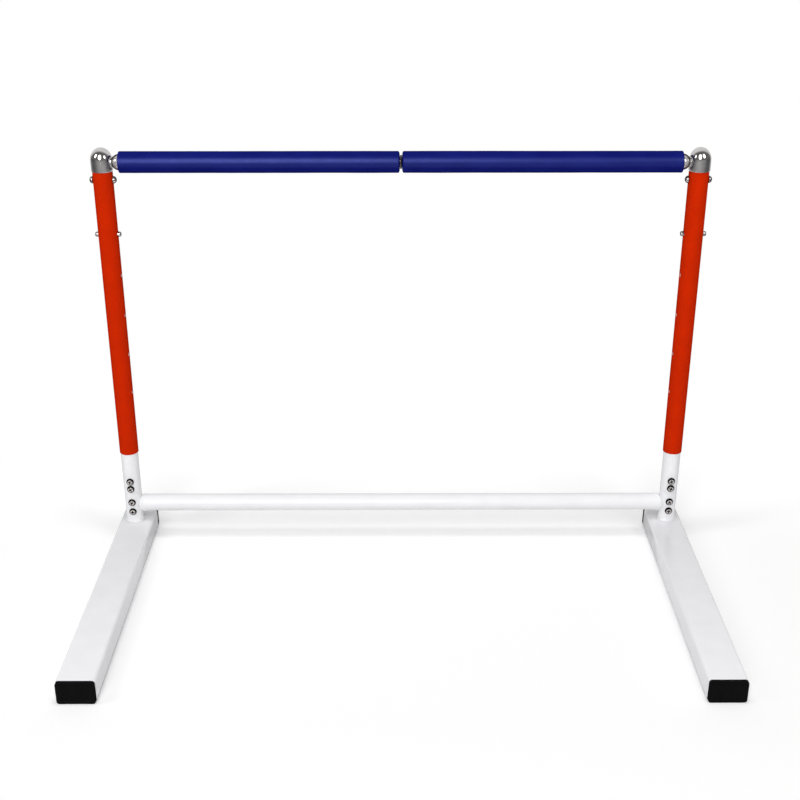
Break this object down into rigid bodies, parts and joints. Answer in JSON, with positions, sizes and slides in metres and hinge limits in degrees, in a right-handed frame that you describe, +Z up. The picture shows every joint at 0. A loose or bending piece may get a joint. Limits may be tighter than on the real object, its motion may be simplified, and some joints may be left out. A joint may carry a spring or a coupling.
{
  "type": "track hurdle",
  "caption": "Free-standing training hurdle with telescoping posts and a padded bar whose two halves swing apart on sprung ball ends when they are hit.",
  "frame": {"origin": "on the floor, under the middle of the hurdle's overall box", "axes": "+Z up, +X along the bar to the right as an athlete at the leg ends sees it, +Y away from that athlete"},
  "size_m": [1.096, 0.581, 0.7688],
  "materials": {
    "white_paint": "glossy white enamel",
    "orange_paint": "satin orange-red enamel",
    "blue_pad": "smooth dark blue skin over soft foam",
    "black_plastic": "black moulded plastic",
    "cap_metal": "satin grey casting",
    "bright_steel": "polished, plated steel",
    "bare_aluminium": "plain drawn tube",
    "spring_steel": "oiled spring steel",
    "zinc_steel": "zinc-plated steel"
  },
  "bodies": {
    "base": {"left_base_leg": "white_paint", "left_front_plug": "black_plastic", "left_back_plug": "black_plastic", "left_post_stub": "white_paint", "left_coupling": "zinc_steel", "left_screw_1": "bright_steel", "left_screw_2": "bright_steel", "left_screw_3": "bright_steel", "left_screw_4": "bright_steel", "left_inner_post": "white_paint", "left_button_spring": "spring_steel", "right_base_leg": "white_paint", "right_front_plug": "black_plastic", "right_back_plug": "black_plastic", "right_post_stub": "white_paint", "right_coupling": "zinc_steel", "right_screw_1": "bright_steel", "right_screw_2": "bright_steel", "right_screw_3": "bright_steel", "right_screw_4": "bright_steel", "right_inner_post": "white_paint", "right_button_spring": "spring_steel", "cross_tube": "white_paint"},
    "left_riser_body": {"left_riser": "orange_paint", "left_cap": "cap_metal", "left_cap_bolt": "bright_steel", "left_cap_nut": "bright_steel", "left_spring_pin": "zinc_steel"},
    "left_bar_body": {"left_ball_end": "bright_steel", "left_core_tube": "bare_aluminium", "left_pad": "blue_pad", "left_middle_plug": "bright_steel", "left_anchor_pin": "zinc_steel", "left_return_spring": "spring_steel"},
    "left_outer_button_body": {"left_outer_button": "bright_steel"},
    "left_inner_button_body": {"left_inner_button": "bright_steel"},
    "right_riser_body": {"right_riser": "orange_paint", "right_cap": "cap_metal", "right_cap_bolt": "bright_steel", "right_cap_nut": "bright_steel", "right_spring_pin": "zinc_steel"},
    "right_bar_body": {"right_ball_end": "bright_steel", "right_core_tube": "bare_aluminium", "right_pad": "blue_pad", "right_middle_plug": "black_plastic", "right_anchor_pin": "zinc_steel", "right_return_spring": "spring_steel"},
    "right_outer_button_body": {"right_outer_button": "bright_steel"},
    "right_inner_button_body": {"right_inner_button": "bright_steel"}
  },
  "joints": [
    {"name": "left_height", "type": "slide", "parent": "base", "child": "left_riser_body", "axis": [0, 0, 1], "range_m": [0, 0.3048], "deforming": ["left_outer_button", "left_inner_button", "left_button_spring"]},
    {"name": "left_outer_button_press", "type": "slide", "parent": "base", "child": "left_outer_button_body", "axis": [1, 0, 0], "range_m": [0, 0.0063], "stiffness_N_per_m": 1500, "deforming": ["left_button_spring"]},
    {"name": "left_inner_button_press", "type": "slide", "parent": "base", "child": "left_inner_button_body", "axis": [-1, 0, 0], "range_m": [0, 0.0063], "stiffness_N_per_m": 1500, "deforming": ["left_button_spring"]},
    {"name": "left_bar_swing", "type": "hinge", "parent": "left_riser_body", "child": "left_bar_body", "pos_m": [-0.4895, 0.2435, 0.7432], "axis": [0, 0, 1], "range_deg": [-45, 45], "stiffness_Nm_per_rad": 1.6, "deforming": ["left_return_spring"]},
    {"name": "right_height", "type": "slide", "parent": "base", "child": "right_riser_body", "axis": [0, 0, 1], "range_m": [0, 0.3048], "deforming": ["right_outer_button", "right_inner_button", "right_button_spring"]},
    {"name": "right_outer_button_press", "type": "slide", "parent": "base", "child": "right_outer_button_body", "axis": [-1, 0, 0], "range_m": [0, 0.0063], "stiffness_N_per_m": 1500, "deforming": ["right_button_spring"]},
    {"name": "right_inner_button_press", "type": "slide", "parent": "base", "child": "right_inner_button_body", "axis": [1, 0, 0], "range_m": [0, 0.0063], "stiffness_N_per_m": 1500, "deforming": ["right_button_spring"]},
    {"name": "right_bar_swing", "type": "hinge", "parent": "right_riser_body", "child": "right_bar_body", "pos_m": [0.4895, 0.2435, 0.7432], "axis": [0, 0, 1], "range_deg": [-45, 45], "stiffness_Nm_per_rad": 1.6, "deforming": ["right_return_spring"]}
  ]
}
